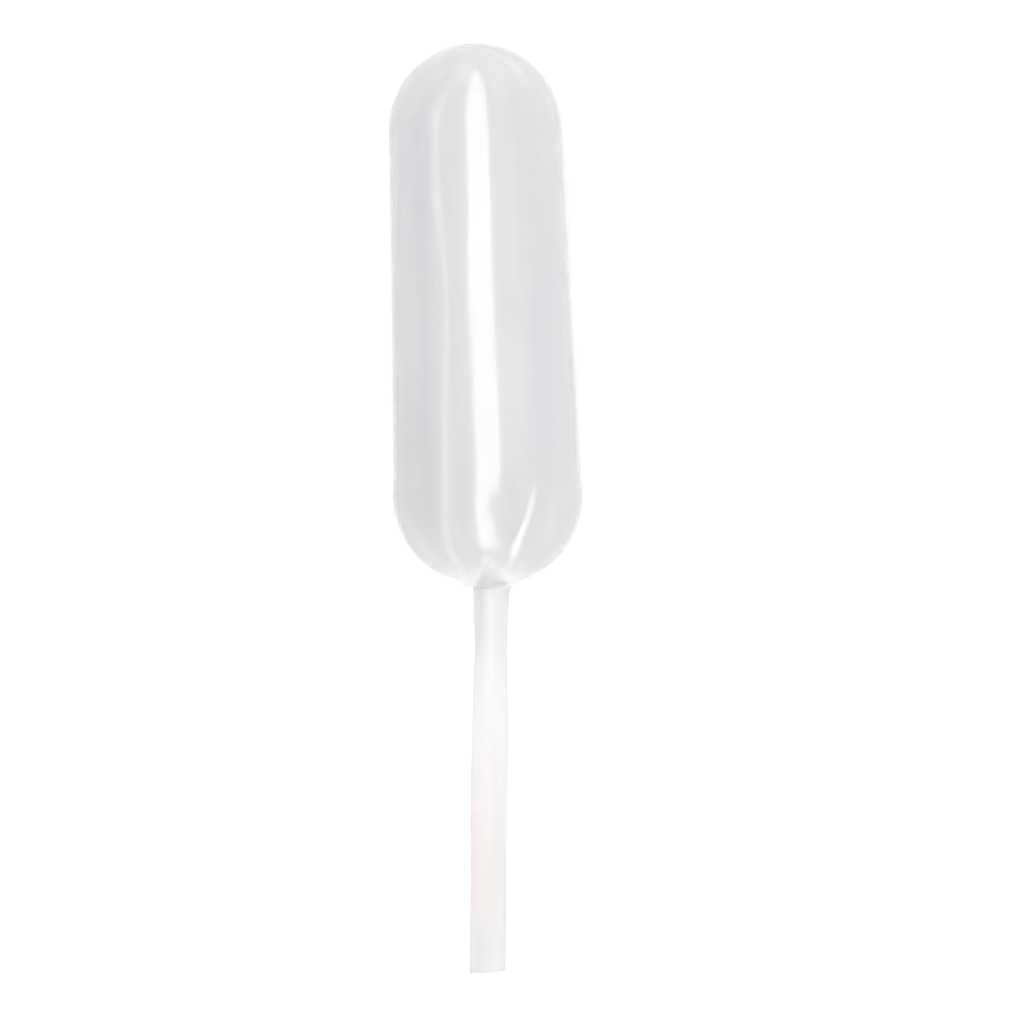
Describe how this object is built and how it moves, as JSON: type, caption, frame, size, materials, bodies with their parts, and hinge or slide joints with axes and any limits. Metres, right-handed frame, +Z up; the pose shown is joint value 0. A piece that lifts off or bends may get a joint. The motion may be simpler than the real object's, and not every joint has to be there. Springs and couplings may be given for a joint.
{
  "type": "plastic dropper pipette",
  "caption": "One-piece squeeze pipette: soft domed bulb with a slight taper and a round bottom that runs into a thin plain stem with an open lumen.",
  "frame": {"origin": "on the floor, under the middle of the part's box, as it lies on its side", "axes": "+Y towards the closed dome, the open tip at -Y, +Z up; the bulb's axis heads 1.99 degrees from +Y towards -X and the stem's 0.56 degrees"},
  "size_m": [0.0136, 0.065, 0.0132],
  "materials": {
    "ldpe": "natural low density polyethylene, translucent, soft gloss"
  },
  "bodies": {
    "root": {"pipette": "ldpe"}
  },
  "joints": []
}
